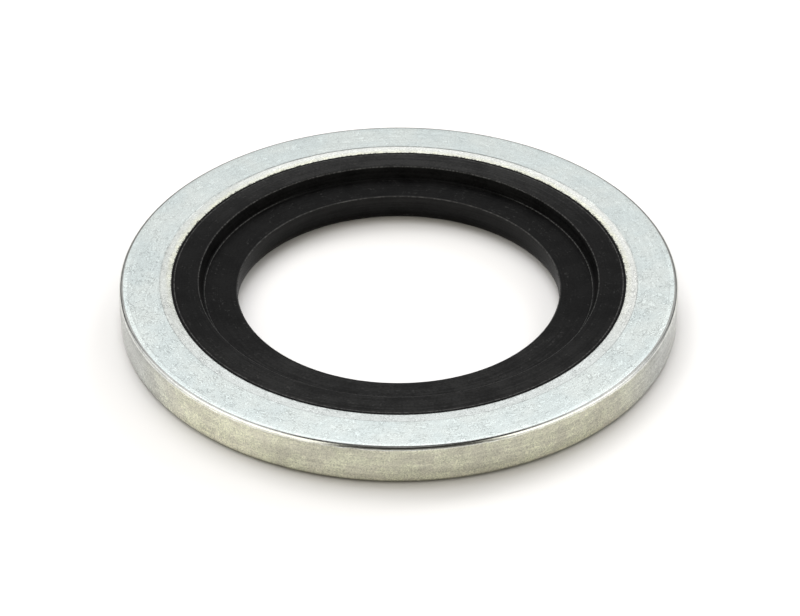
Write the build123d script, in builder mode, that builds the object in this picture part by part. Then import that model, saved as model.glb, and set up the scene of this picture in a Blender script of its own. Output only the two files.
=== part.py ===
from build123d import *
import os

# Self-centring bonded seal for a 1/4 inch parallel pipe thread, whose crests are 13.16 mm across:
# a flat steel washer with a moulded rubber ring bonded in its bore.
# The seal lies flat. The origin is the centre of its underside, and +Z runs up its axis.
# All lengths are in millimetres.

# Steel ring
ring_dia = 20.0
ring_thickness = 1.5
rolled_edge_radius = 0.18   # blanked and barrelled outer edges
bond_dia = 16.28            # bore of the steel, where the rubber is bonded
land_width = 0.38           # coined land round the bore, where the mould closes on the steel
land_depth = 0.03
land_slope_width = 0.04     # radial width of the slope from the land up to the face

# Rubber seal: sealing band, steep wall, ledge, centring web and bore, from the outside in
shoulder_width = 0.12       # the band rises from the land to the face over this width
band_inner_dia = 14.41
crest_bevel = 0.05          # inner edge of the band
ledge_outer_dia = 14.06     # foot of the wall
ledge_width = 0.07
ledge_height = 0.05         # above the web
riser_width = 0.03          # radial width of the short slope from the ledge to the web
web_recess = 0.45           # depth of the web's top below the face of the steel
bore_dia = 11.56            # just over the thread's root, so that the thread holds the web on centre
bore_top_bevel = 0.04
bore_foot_dia = 12.04       # the bore opens out to this at the underside, and so leads the thread in
bore_flare_height = 0.24    # where the straight bore and the slope of its foot would meet, unrounded
bore_flare_radius = 0.8     # rounding between the two

# Radii and heights worked out from the dimensions above
ring_radius = ring_dia / 2
bond_radius = bond_dia / 2
land_radius = bond_radius + land_width
face_radius = land_radius + land_slope_width
land_height = ring_thickness - land_depth
shoulder_radius = bond_radius - shoulder_width
band_inner_radius = band_inner_dia / 2
wall_foot_radius = ledge_outer_dia / 2
ledge_inner_radius = wall_foot_radius - ledge_width
riser_foot_radius = ledge_inner_radius - riser_width
web_height = ring_thickness - web_recess
bore_radius = bore_dia / 2
bore_foot_radius = bore_foot_dia / 2


def corner(section, radius, height):
    """The corner of a section that stands at this radius and height."""
    return section.vertices().sort_by_distance((radius, height))[0]


# Blanked steel washer, the same on both faces
with BuildPart() as steel_ring:
    with BuildSketch(Plane.XZ) as ring_section:
        with BuildLine():
            Polyline(
                (bond_radius, land_depth),
                (bond_radius, land_height),
                (land_radius, land_height),
                (face_radius, ring_thickness),
                (ring_radius, ring_thickness),
                (ring_radius, 0),
                (face_radius, 0),
                (land_radius, land_depth),
                close=True,
            )
        make_face()
        outer_corners = ring_section.vertices().group_by(Axis.X)[-1]
        fillet(outer_corners, rolled_edge_radius)
    revolve(axis=Axis.Z)
steel_ring.part.label = "steel_ring"

# Moulded rubber ring: stepped above, flat below, level with the steel on both sides
with BuildPart() as rubber_seal:
    with BuildSketch(Plane.XZ) as seal_section:
        with BuildLine():
            Polyline(
                (bond_radius, land_depth),
                (bond_radius, land_height),
                (shoulder_radius, ring_thickness),
                (band_inner_radius, ring_thickness),
                (wall_foot_radius, web_height + ledge_height),
                (ledge_inner_radius, web_height + ledge_height),
                (riser_foot_radius, web_height),
                (bore_radius, web_height),
                (bore_radius, bore_flare_height),
                (bore_foot_radius, 0),
                (shoulder_radius, 0),
                close=True,
            )
        make_face()
        chamfer(corner(seal_section, band_inner_radius, ring_thickness), crest_bevel)
        chamfer(corner(seal_section, bore_radius, web_height), bore_top_bevel)
        fillet(corner(seal_section, bore_radius, bore_flare_height), bore_flare_radius)
    revolve(axis=Axis.Z)
rubber_seal.part.label = "rubber_seal"

os.makedirs("parts", exist_ok=True)
export_step(steel_ring.part, "parts/steel_ring.step")
export_step(rubber_seal.part, "parts/rubber_seal.step")
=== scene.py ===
import math

import bmesh
import bpy
from mathutils import Matrix, Vector


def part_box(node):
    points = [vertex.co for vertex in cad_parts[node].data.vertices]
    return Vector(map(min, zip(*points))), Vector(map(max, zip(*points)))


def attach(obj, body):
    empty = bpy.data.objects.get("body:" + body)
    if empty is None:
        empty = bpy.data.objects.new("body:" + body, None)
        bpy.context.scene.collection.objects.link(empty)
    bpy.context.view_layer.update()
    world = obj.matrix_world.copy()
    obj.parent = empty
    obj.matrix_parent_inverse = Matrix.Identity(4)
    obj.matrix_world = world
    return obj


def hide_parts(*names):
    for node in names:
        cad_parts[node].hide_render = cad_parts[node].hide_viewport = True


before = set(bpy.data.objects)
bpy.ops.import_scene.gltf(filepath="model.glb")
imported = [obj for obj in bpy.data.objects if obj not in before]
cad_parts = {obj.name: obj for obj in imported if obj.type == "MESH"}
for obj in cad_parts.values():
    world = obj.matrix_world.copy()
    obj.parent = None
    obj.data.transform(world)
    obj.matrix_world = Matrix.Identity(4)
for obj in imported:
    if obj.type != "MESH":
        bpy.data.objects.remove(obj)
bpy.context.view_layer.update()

MM = 0.001
TURN_STEPS = 720

# ---------------------------------------------------------------- sizes in metres
# The whole ring and seal, from the frame
ring_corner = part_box("steel_ring")[1]
seal_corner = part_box("rubber_seal")[1]
ring_radius = ring_corner.x
thickness = ring_corner.z
bond_radius = seal_corner.x

# Steel ring: coined land, flat face, the face's slight fall to the rim, rolled edges
land_radius = bond_radius + 0.40 * MM
face_radius = bond_radius + 0.42 * MM
land_drop = 0.009 * MM
land_depth = 0.029 * MM
fall_radius = ring_radius - 0.26 * MM
fall_middle = ring_radius - 0.18 * MM
fall_middle_drop = 0.0015 * MM
fall_drop = 0.0165 * MM
rim_roll = 0.13 * MM
foot_roll = 0.18 * MM

# Rubber seal, from the bond inwards: flash, lip, shoulder, band, wall, ledge, web and bore
flash_rise = 0.006 * MM
flash_width = 0.004 * MM
lip_width = 0.04 * MM
lip_height = 0.004 * MM
shoulder_radius = bond_radius - 0.12 * MM
shoulder_fall = 0.022 * MM
band_inner_radius = 7.165 * MM
band_edge_roll = 0.04 * MM
wall_foot_radius = 7.02 * MM
ledge_inner_radius = 6.96 * MM
ledge_edge_roll = 0.02 * MM
riser_foot_radius = 6.93 * MM
web_height = thickness - 0.45 * MM
ledge_height = web_height + 0.05 * MM
bore_radius = 5.78 * MM
bore_edge_roll = 0.035 * MM
bore_foot_radius = 6.02 * MM
bore_flare_height = 0.24 * MM
bore_flare = 0.335 * MM

# ---------------------------------------------------------------- where the finishes change, in millimetres
LAND_END = 8.55
LAND_FADE = 0.05
ROLL_START = 9.86
ROLL_FOOT = 1.39
ROLL_FADE = 0.02
SIDE_FADE = 0.06
STAIN_END = 8.42
STAIN_FULL = 8.20
BAND_EDGE = (7.165, 1.488)
BORE_EDGE = (5.797, 1.048)
LEDGE_EDGE = (6.955, 1.095)
SHOULDER_EDGE = (8.035, 1.475)
BOND_CREASE = (8.10, 1.46)

# ---------------------------------------------------------------- colours
FACE_BLUISH = (0.560, 0.615, 0.608)
FACE_GREYER = (0.572, 0.613, 0.596)
# The land's colours by place are painted light and shade: paler at the far right, duller at the near left, bluer
# at the front.
LAND_PALE = (0.655, 0.668, 0.640)
LAND_DULL = (0.560, 0.580, 0.555)
LAND_FRONT = (0.622, 0.655, 0.642)
RUBBER_STAIN = (0.660, 0.660, 0.530)
ROLL_BRIGHT = (0.670, 0.680, 0.650)
WALL_BEIGE = (0.645, 0.632, 0.520)
WALL_OLIVE = (0.642, 0.645, 0.510)
WALL_GREY = (0.580, 0.595, 0.570)
RUBBER_BLACK = (0.0005, 0.0005, 0.0006)
RUBBER_BLOOM_AND_SHEEN = (0.032, 0.032, 0.0325)
EDGE_HIGHLIGHT_GREY = (0.085, 0.085, 0.085)
CREASE_SHADE_BLACK = (0.0005, 0.0005, 0.0005)
DUST_GREY = (0.045, 0.045, 0.045)
FLOOR_WHITE = (0.530, 0.519, 0.504)
LAMP_WHITE = (0.945, 0.958, 1.0)
STUDIO_WHITE = (1.0, 1.0, 1.0)
STUDIO_WARM = (1.0, 0.97, 0.87)

# Lamps that light the floor alone: degrees round from the back, degrees up, degrees of spread, strength
FLOOR_LAMPS = {
    "top_lamp": (0.0, 83.0, 24.0, 1.06),
    "back_lamp": (-20.0, 60.0, 44.0, 2.13),
    "left_lamp": (-60.0, 16.0, 40.0, 1.61),
    "right_lamp": (36.0, 16.0, 44.0, 3.99),
}
FLOOR_RADIUS = 1.5
FLOOR_GAP = 0.004 * MM
STRAY_LIGHT = 0.04
BACKDROP_WHITE = 1.05


# ---------------------------------------------------------------- turned pieces
def turned(section):
    """A closed section of (radius, height) corners, spun once round Z."""
    bm = bmesh.new()
    corners = [bm.verts.new((radius, 0, height)) for radius, height in section]
    sides = [bm.edges.new(pair) for pair in zip(corners, corners[1:] + corners[:1])]
    bmesh.ops.spin(
        bm, geom=corners + sides, cent=(0, 0, 0), axis=(0, 0, 1),
        angle=math.tau, steps=TURN_STEPS, use_merge=True,
    )
    return bm


def at_corner(vert, radius, height, reach=0.002 * MM):
    return abs(math.hypot(vert.co.x, vert.co.y) - radius) < reach and abs(vert.co.z - height) < reach


def soften(bm, radius, height, width, segments):
    """Rounds the circular edge that runs at this radius and height."""
    edges = [e for e in bm.edges if all(at_corner(v, radius, height) for v in e.verts)]
    bmesh.ops.bevel(
        bm, geom=edges, offset=width, offset_type="OFFSET", affect="EDGES",
        segments=segments, profile=0.5, material=-1,
    )


def finished(bm, name, material, sharp_angle):
    """Makes the piece's object, with its faces outwards and its flats shaded flat."""
    bmesh.ops.recalc_face_normals(bm, faces=bm.faces)
    for face in bm.faces:
        face.smooth = True
    mesh = bpy.data.meshes.new(name)
    bm.to_mesh(mesh)
    bm.free()
    mesh.set_sharp_from_angle(angle=math.radians(sharp_angle))
    piece = bpy.data.objects.new(name, mesh)
    bpy.context.scene.collection.objects.link(piece)
    mesh.materials.append(material)
    flats = piece.modifiers.new("flats_stay_flat", "WEIGHTED_NORMAL")
    flats.keep_sharp = True
    return piece


def steel_ring(material):
    """Blanked ring: face falling a little to its rim, rolled edges, shallow coined land round its bore."""
    bm = turned([
        (bond_radius, land_depth),
        (bond_radius, thickness - land_depth),
        (land_radius, thickness - land_drop),
        (face_radius, thickness),
        (fall_radius, thickness),
        (fall_middle, thickness - fall_middle_drop),
        (ring_radius, thickness - fall_drop),
        (ring_radius, 0),
        (face_radius, 0),
        (land_radius, land_drop),
    ])
    soften(bm, ring_radius, thickness - fall_drop, rim_roll, 10)
    soften(bm, ring_radius, 0, foot_roll, 8)
    return finished(bm, "plated_ring", material, sharp_angle=18)


def rubber_seal(material):
    """Moulded ring: band, wall, ledge and web down to the bore, which flares at its foot; flat below."""
    flash_height = thickness - land_depth + flash_rise
    bm = turned([
        (bond_radius, land_depth),
        (bond_radius, thickness - land_depth),
        (bond_radius + flash_width, flash_height),
        (bond_radius - lip_width, flash_height + lip_height),
        (shoulder_radius + lip_width, thickness - shoulder_fall - lip_height),
        (shoulder_radius, thickness - shoulder_fall),
        (band_inner_radius, thickness),
        (wall_foot_radius, ledge_height),
        (ledge_inner_radius, ledge_height),
        (riser_foot_radius, web_height),
        (bore_radius, web_height),
        (bore_radius, bore_flare_height),
        (bore_foot_radius, 0),
        (shoulder_radius, 0),
    ])
    soften(bm, band_inner_radius, thickness, band_edge_roll, 4)
    soften(bm, ledge_inner_radius, ledge_height, ledge_edge_roll, 3)
    soften(bm, bore_radius, web_height, bore_edge_roll, 4)
    soften(bm, bore_radius, bore_flare_height, bore_flare, 10)
    return finished(bm, "moulded_seal", material, sharp_angle=40)


# ---------------------------------------------------------------- nodes
def node(tree, kind, inputs=None, **settings):
    """Adds a node. Inputs are given by name or number, as values or as another node's output."""
    made = tree.nodes.new(kind)
    for key, value in settings.items():
        setattr(made, key, value)
    for key, value in (inputs or {}).items():
        if isinstance(value, bpy.types.NodeSocket):
            tree.links.new(value, made.inputs[key])
        else:
            made.inputs[key].default_value = value
    return made


def maths(tree, operation, *values):
    return node(tree, "ShaderNodeMath", dict(enumerate(values)), operation=operation).outputs[0]


def chained(tree, operation, values):
    result = values[0]
    for value in values[1:]:
        result = maths(tree, operation, result, value)
    return result


def times(tree, *values):
    return chained(tree, "MULTIPLY", values)


def plus(tree, *values):
    return chained(tree, "ADD", values)


def minus(tree, value, taken_off):
    return maths(tree, "SUBTRACT", value, taken_off)


def most(tree, *values):
    return chained(tree, "MAXIMUM", values)


def darker(tree, shade, share):
    """The shade less this share of itself."""
    return times(tree, shade, minus(tree, 1.0, share))


def brighter(tree, shade, share):
    """The shade and this share of itself more."""
    return times(tree, shade, plus(tree, 1.0, share))


def fade(tree, value, low, high, to_low=0.0, to_high=1.0):
    """Smooth change from to_low to to_high as the value goes from low to high."""
    return node(
        tree, "ShaderNodeMapRange", {0: value, 1: low, 2: high, 3: to_low, 4: to_high},
        interpolation_type="SMOOTHSTEP",
    ).outputs[0]


def stripe(tree, value, start, full, easing, end):
    """1 from full to easing, and nothing before start or after end."""
    return times(tree, fade(tree, value, start, full), fade(tree, value, end, easing))


def blend_colours(tree, amount, first, second, how="MIX"):
    made = node(tree, "ShaderNodeMix", {0: amount}, data_type="RGBA", blend_type=how)
    for socket, colour in ((made.inputs[6], first), (made.inputs[7], second)):
        if isinstance(colour, bpy.types.NodeSocket):
            tree.links.new(colour, socket)
        else:
            socket.default_value = (*colour, 1)
    return made.outputs[2]


def blend_values(tree, amount, first, second):
    return node(tree, "ShaderNodeMix", {0: amount, 2: first, 3: second}, data_type="FLOAT").outputs[0]


def start_material(name):
    material = bpy.data.materials.new(name)
    material.use_nodes = True
    tree = material.node_tree
    tree.nodes.clear()
    shader = tree.nodes.new("ShaderNodeBsdfPrincipled")
    output = tree.nodes.new("ShaderNodeOutputMaterial")
    tree.links.new(shader.outputs[0], output.inputs[0])
    return material, tree, shader


def raise_surface(tree, shader, height, depth):
    bump = node(tree, "ShaderNodeBump", {"Strength": 1.0, "Distance": depth, "Height": height})
    tree.links.new(bump.outputs[0], shader.inputs["Normal"])


class Place:
    """Where a point of a piece is, in millimetres, and the patterns that its finish uses there."""

    def __init__(self, place, x, y, height, radius):
        self.place = place
        self.x = x
        self.y = y
        self.height = height
        self.radius = radius


def place_in_mm(tree):
    metres = node(tree, "ShaderNodeTexCoord").outputs["Object"]
    place = node(tree, "ShaderNodeVectorMath", {0: metres, 3: 1 / MM}, operation="SCALE").outputs[0]
    x, y, height = node(tree, "ShaderNodeSeparateXYZ", {0: place}).outputs
    radius = maths(tree, "SQRT", plus(tree, times(tree, x, x), times(tree, y, y)))
    return Place(place, x, y, height, radius)


def round_the_ring(tree, at, around, across):
    """A place bent round the axis, for long marks round the ring: counts per radian and per millimetre."""
    counts = node(
        tree, "ShaderNodeVectorMath", {0: at.place, 1: (around, around, 0)}, operation="MULTIPLY",
    ).outputs[0]
    turned_out = node(tree, "ShaderNodeCombineXYZ", {0: at.radius, 1: at.radius, 2: 1.0}).outputs[0]
    spokes = node(tree, "ShaderNodeVectorMath", {0: counts, 1: turned_out}, operation="DIVIDE").outputs[0]
    depth = times(tree, plus(tree, at.radius, at.height), across)
    lift = node(tree, "ShaderNodeCombineXYZ", {2: depth}).outputs[0]
    return node(tree, "ShaderNodeVectorMath", {0: spokes, 1: lift}, operation="ADD").outputs[0]


def grain(tree, place, per_mm, detail=3.0, roughness=0.55):
    """Noise with this many lumps to a millimetre, or to one step of a place bent round the ring."""
    return node(
        tree, "ShaderNodeTexNoise",
        {"Vector": place, "Scale": per_mm, "Detail": detail, "Roughness": roughness},
    ).outputs["Fac"]


def spots(tree, place, spacing, reach, share, edge=0.35):
    """1 inside small round spots, one in each of a share of the cells of this spacing in millimetres."""
    cells = node(tree, "ShaderNodeTexVoronoi", {"Vector": place, "Scale": 1 / spacing})
    near = fade(tree, cells.outputs["Distance"], reach, reach * edge)
    chosen = node(tree, "ShaderNodeSeparateColor", {0: cells.outputs["Color"]}).outputs[0]
    return times(tree, near, maths(tree, "LESS_THAN", chosen, share))


def hairlines(tree, pattern, width, broken_by):
    """1 on fine curved lines through a pattern, broken into short marks by a second one."""
    off_line = maths(tree, "ABSOLUTE", minus(tree, pattern, 0.5))
    return times(tree, fade(tree, off_line, width, width * 0.4), fade(tree, broken_by, 0.47, 0.53))


# ---------------------------------------------------------------- zinc plate
def plated_places(tree):
    """The plating's noise patterns, and how far a place is on the land, rolled edge or rim wall."""
    at = place_in_mm(tree)
    at.clouds = grain(tree, at.place, 0.7, 3.0)
    at.patches = grain(tree, at.place, 1.6, 4.0, 0.6)
    at.mottles = grain(tree, at.place, 5.0, 4.0, 0.7)
    at.grit = grain(tree, at.place, 20.0, 1.0, 0.6)
    at.flecks = grain(tree, round_the_ring(tree, at, 26.0, 7.0), 1.0, 3.0, 0.65)
    at.streaks = grain(tree, round_the_ring(tree, at, 3.0, 7.0), 1.0, 4.0, 0.65)

    at.ragged_height = plus(tree, at.height, fade(tree, at.flecks, 0.35, 0.65, -0.012, 0.012))
    at.on_land = fade(tree, at.radius, LAND_END + LAND_FADE, LAND_END - LAND_FADE)
    at.on_roll = times(
        tree, fade(tree, at.radius, ROLL_START - ROLL_FADE, ROLL_START + ROLL_FADE),
        fade(tree, at.ragged_height, ROLL_FOOT - ROLL_FADE, ROLL_FOOT + ROLL_FADE),
    )
    at.on_side = times(
        tree, fade(tree, at.radius, ROLL_START - SIDE_FADE, ROLL_START + SIDE_FADE),
        fade(tree, at.ragged_height, ROLL_FOOT + ROLL_FADE, ROLL_FOOT - ROLL_FADE),
    )
    at.calmer_front = fade(tree, at.y, -7.2, -8.8, 1.0, 0.8)
    at.thick_patches = fade(tree, at.patches, 0.38, 0.60, 0.4, 1.0)
    return at


def plate_tint(tree, at):
    """Bluish face; land painted paler toward the far right and duller and bluer toward the front, as painted
    light and shade, and stained by the rubber near it; bright rolled edge; yellowish rim wall, painted grey at
    its left and right ends and warmer toward front and back, a painted reflection of the warm floor.
    """
    face = blend_colours(tree, fade(tree, at.clouds, 0.35, 0.65), FACE_BLUISH, FACE_GREYER)
    # Painted light and shade on the land: paler toward the far right, duller and bluer toward the front.
    slantwise = plus(tree, at.y, times(tree, at.x, 0.7))
    land = blend_colours(tree, fade(tree, slantwise, 4.5, 0.5), LAND_PALE, LAND_DULL)
    land = blend_colours(tree, fade(tree, at.y, -2.0, -6.0), land, LAND_FRONT)
    stained = times(
        tree, fade(tree, at.radius, STAIN_END, STAIN_FULL),
        fade(tree, at.mottles, 0.35, 0.65, 0.3, 0.9), fade(tree, at.y, -4.0, 2.0),
    )
    warm_wall = blend_colours(tree, fade(tree, at.patches, 0.38, 0.62), WALL_BEIGE, WALL_OLIVE)
    # Painted reflection of the warm floor: the wall grey at its left and right ends and warmer toward front and
    # back; the beige and olive patches are the plating's own.
    off_middle = maths(tree, "ABSOLUTE", at.y)
    wall = blend_colours(tree, fade(tree, off_middle, 4.0, 7.5), WALL_GREY, warm_wall)

    tint = blend_colours(tree, at.on_land, face, land)
    tint = blend_colours(tree, stained, tint, RUBBER_STAIN)
    tint = blend_colours(tree, at.on_roll, tint, ROLL_BRIGHT)
    return blend_colours(tree, at.on_side, tint, wall)


def plate_scoring(tree, at):
    """Dark hairlines, fewer on the far face and land, and none on the rolled edge."""
    lines = most(
        tree, hairlines(tree, at.mottles, 0.035, at.flecks), hairlines(tree, at.flecks, 0.04, at.mottles),
    )
    return times(
        tree, lines,
        fade(tree, at.patches, 0.36, 0.60, 0.4, 1.0),
        most(tree, fade(tree, at.y, 8.0, 0.0, 0.5, 1.0), at.on_land),
        minus(tree, 1.0, at.on_roll),
        at.calmer_front,
        fade(tree, times(tree, at.y, at.on_land), 0.5, 3.0, 1.0, 0.55),
    )


def plate_mottling(tree, at, scoring):
    """How light the plating is: clouds, mottles, streaks and grit, the coarser, pitted rim wall, the face
    painted a little darker toward the back, and the rim wall painted lighter toward its foot and darker near its
    top.
    """
    shade = plus(
        tree,
        fade(tree, at.clouds, 0.3, 0.7, 0.99, 1.04),
        fade(tree, at.mottles, 0.3, 0.7, -0.06, 0.04),
        fade(tree, at.streaks, 0.3, 0.7, -0.04, 0.03),
        fade(tree, at.flecks, 0.3, 0.7, -0.08, 0.05),
        fade(tree, at.grit, 0.3, 0.7, -0.12, 0.06),
    )
    # Painted shade: the face a little darker toward the back.
    shade = times(tree, shade, fade(tree, at.y, -6.0, 6.0, 1.0, 0.985))
    coarseness = times(tree, fade(tree, at.on_side, 0, 1, 1.0, 1.45), at.calmer_front)
    shade = plus(tree, 1.0, times(tree, minus(tree, shade, 1.0), coarseness))

    score_depth = times(tree, scoring, fade(tree, at.on_side, 0, 1, 0.38, 0.30))
    pits = minus(tree, fade(tree, at.grit, 0.44, 0.34, 0, 0.26), fade(tree, at.grit, 0.58, 0.66, 0, 0.11))
    pits = times(tree, pits, at.on_side, at.thick_patches)
    shade = darker(tree, shade, most(tree, score_depth, pits))

    # Painted light and shade: the rim wall lighter toward its foot and a little darker near its top.
    below_edge = times(tree, minus(tree, 1.25, at.height), at.on_side)
    shade = times(tree, shade, fade(tree, below_edge, 0.0, 1.1, 0.96, 1.16))
    blotches = plus(
        tree,
        fade(tree, at.patches, 0.34, 0.66, -0.11, 0.09),
        fade(tree, at.streaks, 0.34, 0.66, -0.07, 0.05),
    )
    return plus(tree, shade, times(tree, at.on_side, blotches))


def plate_painted_shade(tree, at):
    """Painted shade in the rim's crease and above the foot, a painted dark reflection on the front of the rolled
    edge, and darker dashes on the land's edge.
    """
    # Painted shade in the crease where the face's fall meets the rolled edge.
    crease_outer = minus(tree, at.radius, fade(tree, at.y, -6.0, -2.0, 0, 0.045))
    crease = times(
        tree, fade(tree, at.radius, 9.848, 9.870), fade(tree, crease_outer, 9.920, 9.898),
        fade(tree, at.height, 1.42, 1.44), fade(tree, at.streaks, 0.35, 0.6, 0.46, 0.62),
    )
    # Darker dashes along the land's edge.
    land_edge = times(
        tree, stripe(tree, at.radius, 8.49, 8.54, 8.57, 8.63),
        fade(tree, at.flecks, 0.44, 0.56, 0.05, 0.28), fade(tree, at.y, -1.0, 2.0, 0.1, 1.0),
    )
    # Painted shade on the rim wall just above the foot, where it meets the floor.
    painted_foot_shade = times(tree, at.on_side, fade(tree, at.height, 0.17, 0.04, 0, 0.36))
    # Painted dark reflection on the front of the rolled edge.
    turned_y = minus(tree, at.y, times(tree, at.x, 0.05))
    painted_dark_reflection = times(
        tree, fade(tree, at.radius, 9.885, 9.905), fade(tree, at.ragged_height, 1.405, 1.430),
        fade(tree, turned_y, -9.40, -9.80), fade(tree, at.streaks, 0.35, 0.65, 0.66, 0.50),
    )
    return most(tree, crease, painted_foot_shade, land_edge, painted_dark_reflection)


def plate_painted_highlights(tree, at):
    """Painted highlights: on the lower rolled edge at the front, either side of the middle, and on the face's
    fall at the sides toward the front.
    """
    roll_highlight = times(
        tree, at.on_roll, fade(tree, at.height, 1.475, 1.455, 0, 0.36),
        stripe(tree, at.y, -9.8, -9.4, -7.2, -5.3),
    )
    fall_highlight = times(
        tree, stripe(tree, at.radius, 9.68, 9.74, 9.84, 9.87),
        fade(tree, maths(tree, "ABSOLUTE", at.x), 3.0, 7.0, 0, 0.13), fade(tree, at.y, 3.0, 0.0),
    )
    return most(tree, roll_highlight, fall_highlight)


def plate_painted_wall_highlight(tree, at):
    """A painted highlight: a paler length of the rim wall, front left."""
    return times(
        tree, stripe(tree, at.x, -9.0, -8.0, -5.5, -3.5), at.on_side, fade(tree, at.y, -4.0, -6.0, 0, 0.22),
    )


def plate_fine_marks(tree, at):
    """A fine line inside the left rim, and the rough edge where the rubber meets the steel."""
    fine_line = times(
        tree, stripe(tree, at.radius, 9.655, 9.672, 9.688, 9.705),
        fade(tree, at.streaks, 0.40, 0.55, 0.02, 0.12),
        fade(tree, at.x, -5.0, -7.0), fade(tree, at.y, 0.5, -1.5),
    )
    ragged_radius = plus(
        tree, at.radius,
        fade(tree, at.grit, 0.38, 0.62, -0.020, 0.030), fade(tree, at.flecks, 0.40, 0.60, -0.012, 0.020),
    )
    torn_edge = times(tree, fade(tree, ragged_radius, 8.190, 8.165), fade(tree, at.y, -2.0, 1.0, 0.2, 0.80))
    return most(tree, fine_line, torn_edge)


def zinc_plate():
    """Bright zinc: bluish faces, yellowish rim wall, mottling, dark hairlines, painted shade in the rim's crease
    and above the foot, a painted dark reflection on the front of the rim, and painted highlights.
    """
    material, tree, shader = start_material("bright_zinc_plate")
    at = plated_places(tree)
    scoring = plate_scoring(tree, at)

    shade = plate_mottling(tree, at, scoring)
    # Painted shade in the rim's crease and above the foot, and a painted dark reflection on the front of the
    # rolled edge.
    shade = darker(tree, shade, plate_painted_shade(tree, at))
    # Painted highlight on the rim wall, front left.
    shade = brighter(tree, shade, plate_painted_wall_highlight(tree, at))
    # Painted highlights on the rolled edge and the face's fall.
    shade = brighter(tree, shade, plate_painted_highlights(tree, at))
    shade = darker(tree, shade, plate_fine_marks(tree, at))
    shades = node(tree, "ShaderNodeCombineXYZ", {0: shade, 1: shade, 2: shade}).outputs[0]
    colour = blend_colours(tree, 1.0, plate_tint(tree, at), shades, "MULTIPLY")
    tree.links.new(colour, shader.inputs["Base Color"])
    shader.inputs["Metallic"].default_value = 1.0

    dull = fade(tree, at.mottles, 0.3, 0.7, 0.19, 0.25)
    burnished = fade(tree, at.mottles, 0.35, 0.65, 0.10, 0.20)
    roughness = plus(tree, blend_values(tree, at.on_roll, dull, burnished), times(tree, at.on_side, 0.16))
    tree.links.new(roughness, shader.inputs["Roughness"])

    relief = plus(tree, times(tree, at.mottles, 0.5), times(tree, at.flecks, 0.4))
    relief = minus(tree, relief, times(tree, scoring, 0.5))
    relief = times(tree, relief, fade(tree, most(tree, at.on_roll, at.on_side), 0, 1, 0.55, 1.6))
    raise_surface(tree, shader, relief, depth=0.003 * MM)
    return material


# ---------------------------------------------------------------- black rubber
def rubber_edge(tree, at, edge, width):
    """1 on the circular edge at this radius and height."""
    aside = maths(tree, "ABSOLUTE", minus(tree, at.radius, edge[0]))
    above = maths(tree, "ABSOLUTE", minus(tree, at.height, edge[1]))
    return fade(tree, most(tree, aside, above), width, width * 0.6)


def rubber_edge_highlights(tree, at):
    """Painted highlights on the edges, uneven; the ledge's edge has them only at its sides."""
    at_sides = fade(tree, maths(tree, "ABSOLUTE", at.x), 3.5, 5.5)
    highlit_edges = plus(
        tree,
        rubber_edge(tree, at, BAND_EDGE, 0.030),
        rubber_edge(tree, at, BORE_EDGE, 0.025),
        times(tree, rubber_edge(tree, at, LEDGE_EDGE, 0.024), at_sides),
        rubber_edge(tree, at, SHOULDER_EDGE, 0.024),
    )
    return times(tree, highlit_edges, fade(tree, at.fine, 0.42, 0.60, 0.25, 1.0))


def rubber_bloom_and_sheen(tree, at):
    """How grey the rubber is: uneven bloom, a painted sheen over its front and back, and a painted sheen on the
    wall of the bore, fading toward its foot.
    """
    # Painted sheen over the rubber's front and back.
    toward_back = maths(tree, "DIVIDE", at.y, at.radius)
    front_back_sheen = plus(tree, fade(tree, toward_back, -0.2, -0.9, 0, 0.7), fade(tree, toward_back, 0.3, 0.9))
    front_back_sheen = times(
        tree, front_back_sheen, most(tree, fade(tree, at.radius, 7.1, 7.3), fade(tree, toward_back, 0.1, -0.1)),
    )
    tone = plus(tree, times(tree, at.bloom, 0.30), times(tree, at.rings, 0.40), times(tree, at.fine, 0.30))
    # Painted sheen on the bore wall, fading toward its foot.
    on_bore = times(tree, fade(tree, at.radius, 5.86, 5.82), fade(tree, at.height, 0.15, 1.0, 0.0, 0.72))
    painted_sheen = most(
        tree, times(tree, front_back_sheen, fade(tree, tone, 0.40, 0.64, 0.3, 0.9)),
        times(tree, on_bore, fade(tree, at.rings, 0.35, 0.65, 0.50, 0.66)),
    )
    return plus(tree, fade(tree, tone, 0.38, 0.62, 0, 0.22), painted_sheen)


def rubber_marks(tree, at):
    """Specks of dust and short scuffs, on the flats only."""
    dust = times(
        tree, spots(tree, at.place, spacing=0.22, reach=0.11, share=0.03), fade(tree, at.bloom, 0.45, 0.65),
    )
    scuffs = times(
        tree, hairlines(tree, at.bloom, 0.012, at.fine), fade(tree, at.rings, 0.45, 0.60, 0, 0.8),
    )
    on_flats = times(
        tree, most(tree, fade(tree, at.radius, 7.20, 7.26), fade(tree, at.radius, 6.92, 6.86)),
        fade(tree, at.radius, 5.84, 5.90),
    )
    return times(tree, most(tree, dust, scuffs), on_flats)


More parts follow.
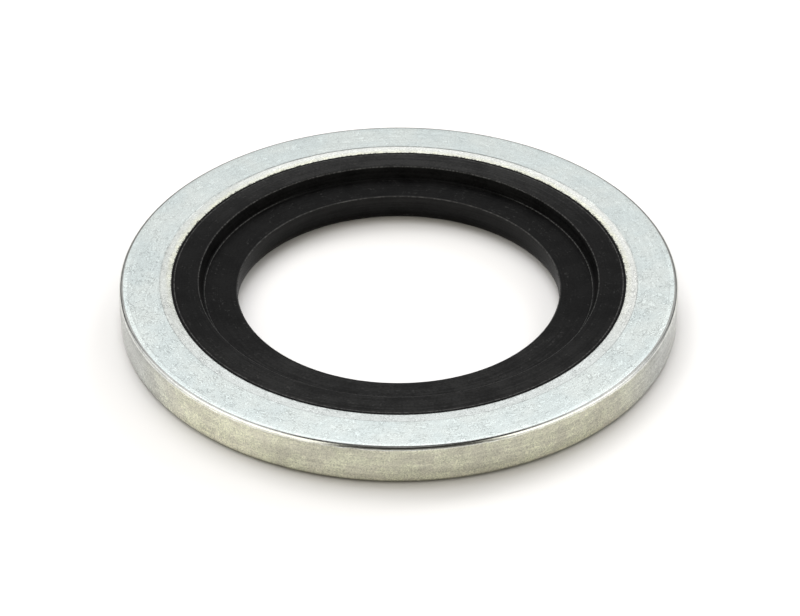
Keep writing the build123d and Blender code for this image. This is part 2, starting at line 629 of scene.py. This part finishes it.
def black_rubber():
    """Black moulded rubber: turning rings from the mould, smoother edges with painted highlights, painted sheen,
    painted shade where it meets the steel, a little dust.
    """
    material, tree, shader = start_material("black_moulded_rubber")
    at = place_in_mm(tree)
    at.bloom = grain(tree, at.place, 1.2, 4.0)
    at.fine = grain(tree, at.place, 12.0, 3.0, 0.65)
    at.rings = grain(tree, round_the_ring(tree, at, 1.6, 13.0), 1.0, 4.0, 0.7)

    highlit_edges = rubber_edge_highlights(tree, at)
    # Uneven grey bloom, and painted sheen.
    colour = blend_colours(tree, rubber_bloom_and_sheen(tree, at), RUBBER_BLACK, RUBBER_BLOOM_AND_SHEEN)
    # Painted highlights, grey, on the edges of the band, bore, ledge and shoulder.
    colour = blend_colours(tree, highlit_edges, colour, EDGE_HIGHLIGHT_GREY)
    # Painted shade in the crease where the rubber meets the steel.
    colour = blend_colours(tree, rubber_edge(tree, at, BOND_CREASE, 0.035), colour, CREASE_SHADE_BLACK)
    colour = blend_colours(tree, rubber_marks(tree, at), colour, DUST_GREY)
    tree.links.new(colour, shader.inputs["Base Color"])

    moulded = fade(tree, at.rings, 0.35, 0.65, 0.36, 0.44)
    # The same edges are smoother.
    tree.links.new(blend_values(tree, highlit_edges, moulded, 0.25), shader.inputs["Roughness"])
    shader.inputs["Specular IOR Level"].default_value = 0.045
    shader.inputs["Sheen Weight"].default_value = 0.03
    shader.inputs["Sheen Roughness"].default_value = 0.3
    raise_surface(tree, shader, plus(tree, at.fine, times(tree, at.rings, 1.5)), depth=0.006 * MM)
    return material


# ---------------------------------------------------------------- stage
def pale_floor():
    """A wide white floor that is clear when looked at from below."""
    bm = bmesh.new()
    bmesh.ops.create_circle(bm, cap_ends=True, segments=96, radius=FLOOR_RADIUS)
    bmesh.ops.translate(bm, verts=bm.verts, vec=(0, 0, -FLOOR_GAP))
    mesh = bpy.data.meshes.new("pale_floor")
    bm.to_mesh(mesh)
    bm.free()
    made = bpy.data.objects.new("pale_floor", mesh)
    bpy.context.scene.collection.objects.link(made)
    material = bpy.data.materials.new("floor_white")
    material.use_nodes = True
    tree = material.node_tree
    tree.nodes.clear()
    white = node(tree, "ShaderNodeBsdfDiffuse", {0: (*FLOOR_WHITE, 1)})
    clear = node(tree, "ShaderNodeBsdfTransparent")
    from_below = node(tree, "ShaderNodeNewGeometry").outputs["Backfacing"]
    both = node(tree, "ShaderNodeMixShader", {0: from_below, 1: white.outputs[0], 2: clear.outputs[0]})
    node(tree, "ShaderNodeOutputMaterial", {0: both.outputs[0]})
    mesh.materials.append(material)
    return made


def floor_lamp(name, floor, round_from_back, up, spread, strength):
    """A soft lamp that lights the floor alone, at these angles in degrees. The washer still casts its shadow."""
    data = bpy.data.lights.new(name, "SUN")
    data.angle = math.radians(spread)
    data.energy = strength
    data.color = LAMP_WHITE
    lamp = bpy.data.objects.new(name, data)
    turn, lift = math.radians(round_from_back), math.radians(up)
    toward = Vector((math.sin(turn) * math.cos(lift), math.cos(turn) * math.cos(lift), math.sin(lift)))
    lamp.rotation_euler = toward.to_track_quat("Z", "Y").to_euler()
    bpy.context.scene.collection.objects.link(lamp)
    floor_only = bpy.data.collections.new(name + "_reaches")
    floor_only.objects.link(floor)
    lamp.light_linking.receiver_collection = floor_only


def studio_light():
    """White studio: a tall light behind, one at each side, a low one in front and a small one overhead."""
    world = bpy.data.worlds.new("white_studio")
    bpy.context.scene.world = world
    world.use_nodes = True
    tree = world.node_tree
    tree.nodes.clear()
    toward = node(tree, "ShaderNodeSeparateXYZ", {0: node(tree, "ShaderNodeTexCoord").outputs["Generated"]})
    x, y, z = toward.outputs
    off_back = maths(tree, "DEGREES", maths(tree, "ABSOLUTE", maths(tree, "ARCTAN2", x, y)))
    up = maths(tree, "DEGREES", maths(tree, "ARCSINE", z))
    on_left = fade(tree, x, 0.05, -0.05)
    on_right = fade(tree, on_left, 1, 0)
    below_top = fade(tree, up, 72, 66)

    back = times(
        tree, fade(tree, off_back, 46.5, 42.5), fade(tree, up, 64, 54),
        plus(tree, fade(tree, up, 17, 31, 0.45, 1.33), fade(tree, up, 39, 48, 0, 1.2)),
    )
    left = times(
        tree, on_left, fade(tree, off_back, 42, 62), fade(tree, off_back, 160, 140), below_top,
        fade(tree, up, 14, 42, 0.80, 1.55),
    )
    right = times(
        tree, on_right, fade(tree, off_back, 28, 85), fade(tree, off_back, 150, 128),
        fade(tree, up, 68, 60), fade(tree, up, 12, 38, 0.80, 1.55),
    )
    front = times(tree, fade(tree, off_back, 136, 152), below_top, fade(tree, up, 40, 31, 0.06, 0.55))
    overhead = fade(tree, up, 76, 84)
    strength = plus(tree, back, left, right, front, overhead, STRAY_LIGHT)
    colour = blend_colours(tree, fade(tree, y, 0.2, -0.3), STUDIO_WHITE, STUDIO_WARM)
    lit = node(tree, "ShaderNodeBackground", {0: colour, 1: strength})
    seen = node(tree, "ShaderNodeBackground", {0: (*STUDIO_WHITE, 1), 1: BACKDROP_WHITE})
    by_camera = node(tree, "ShaderNodeLightPath").outputs["Is Camera Ray"]
    both = node(tree, "ShaderNodeMixShader", {0: by_camera, 1: lit.outputs[0], 2: seen.outputs[0]})
    node(tree, "ShaderNodeOutputWorld", {0: both.outputs[0]})


def camera():
    """Camera in front of the washer, looking down at it with a long lens."""
    picture_width = 800
    elevation = math.radians(35.056)
    distance = 11 * ring_radius
    focal_px = 3070.0
    centre_px = Vector((398.395, 275.265))
    middle_px = Vector((400.0, 308.0))
    roll = math.radians(-0.115)
    aim = Vector((0, 0, thickness))
    data = bpy.data.cameras.new("camera")
    data.sensor_width = 36.0
    data.lens = focal_px * data.sensor_width / picture_width
    data.clip_start = 0.01
    data.clip_end = 100.0
    eye = aim + distance * Vector((0, -math.cos(elevation), math.sin(elevation)))
    pitch = elevation + math.atan((middle_px.y - centre_px.y) / focal_px)
    yaw = -math.atan((middle_px.x - centre_px.x) / focal_px)
    turn = (
        Matrix.Rotation(yaw, 4, "Z")
        @ Matrix.Rotation(math.pi / 2 - pitch, 4, "X")
        @ Matrix.Rotation(roll, 4, "Z")
    )
    made = bpy.data.objects.new("camera", data)
    made.matrix_world = Matrix.Translation(eye) @ turn
    bpy.context.scene.collection.objects.link(made)
    bpy.context.scene.camera = made


camera()
studio_light()
floor = pale_floor()
for lamp_name, lamp_settings in FLOOR_LAMPS.items():
    floor_lamp(lamp_name, floor, *lamp_settings)
bpy.context.scene.view_settings.view_transform = "Standard"

ring = steel_ring(zinc_plate())
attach(ring, "root")
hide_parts("steel_ring")

seal = rubber_seal(black_rubber())
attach(seal, "root")
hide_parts("rubber_seal")
